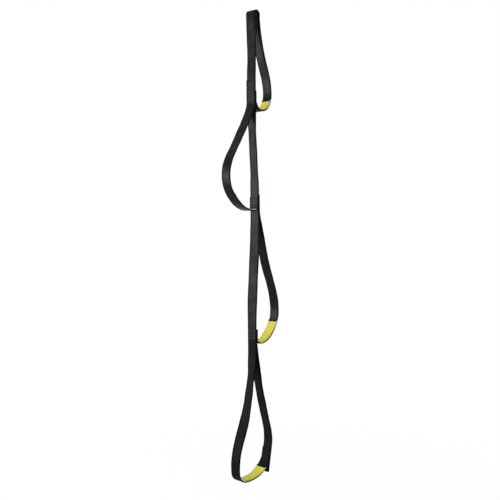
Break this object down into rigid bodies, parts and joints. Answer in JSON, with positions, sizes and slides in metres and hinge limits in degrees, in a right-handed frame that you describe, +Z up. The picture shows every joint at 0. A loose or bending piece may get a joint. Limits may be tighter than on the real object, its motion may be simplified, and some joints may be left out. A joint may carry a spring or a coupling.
{
  "type": "webbing foot loop ladder",
  "caption": "Hanging ladder of flat webbing with a clip-in eye, foot loops on alternate sides of a spine, a teardrop loop at the bottom, and bright linings inside the treads.",
  "frame": {"origin": "the clip-in point, at the top inside the eye", "axes": "+Z up along the hanging ladder, +Y across the webbing's width, +X towards the side on which the first and third steps stand out"},
  "size_m": [0.1673, 0.025, 1.047],
  "materials": {
    "webbing": "matt woven black nylon",
    "lining": "matt woven yellow nylon",
    "thread": "matt black polyester thread"
  },
  "bodies": {
    "top_section": {"main_strap_top": "webbing", "step_2_head": "webbing", "step_1_lining": "lining", "step_1_lining_tack_left": "thread", "step_1_lining_tack_right": "thread", "junction_1_tack_upper_front": "thread", "junction_1_tack_upper_back": "thread", "junction_1_tack_lower_front": "thread", "junction_1_tack_lower_back": "thread"},
    "second_section": {"spine_2": "webbing", "step_2_strap": "webbing", "step_3_head": "webbing", "step_2_lining": "lining", "step_2_lining_tack_left": "thread", "step_2_lining_tack_right": "thread", "junction_2_tack_upper_front": "thread", "junction_2_tack_upper_back": "thread", "junction_2_tack_lower_front": "thread", "junction_2_tack_lower_back": "thread"},
    "third_section": {"spine_3": "webbing", "step_3_strap": "webbing", "step_4_return_end": "webbing", "step_3_lining": "lining", "step_3_lining_tack_left": "thread", "step_3_lining_tack_right": "thread", "junction_3_tack_upper_front": "thread", "junction_3_tack_upper_back": "thread", "junction_3_tack_lower_front": "thread", "junction_3_tack_lower_back": "thread"},
    "bottom_section": {"step_4_strap": "webbing", "step_4_right_strap": "webbing", "step_4_lap_tack_upper_inner": "thread", "step_4_lap_tack_upper_outer": "thread", "step_4_lap_tack_lower_inner": "thread", "step_4_lap_tack_lower_outer": "thread", "step_4_lining": "lining", "step_4_lining_tack_left": "thread", "step_4_lining_tack_right": "thread"}
  },
  "joints": [
    {"name": "first_junction_bend", "type": "hinge", "parent": "top_section", "child": "second_section", "pos_m": [-0.00915, 0, -0.21], "axis": [0, 1, 0], "range_deg": [-50, 90]},
    {"name": "second_junction_bend", "type": "hinge", "parent": "second_section", "child": "third_section", "pos_m": [0.00075, 0, -0.448], "axis": [0, 1, 0], "range_deg": [-90, 90]},
    {"name": "third_junction_bend", "type": "hinge", "parent": "third_section", "child": "bottom_section", "pos_m": [-0.01325, 0, -0.749], "axis": [0, 1, 0], "range_deg": [-90, 90]}
  ]
}
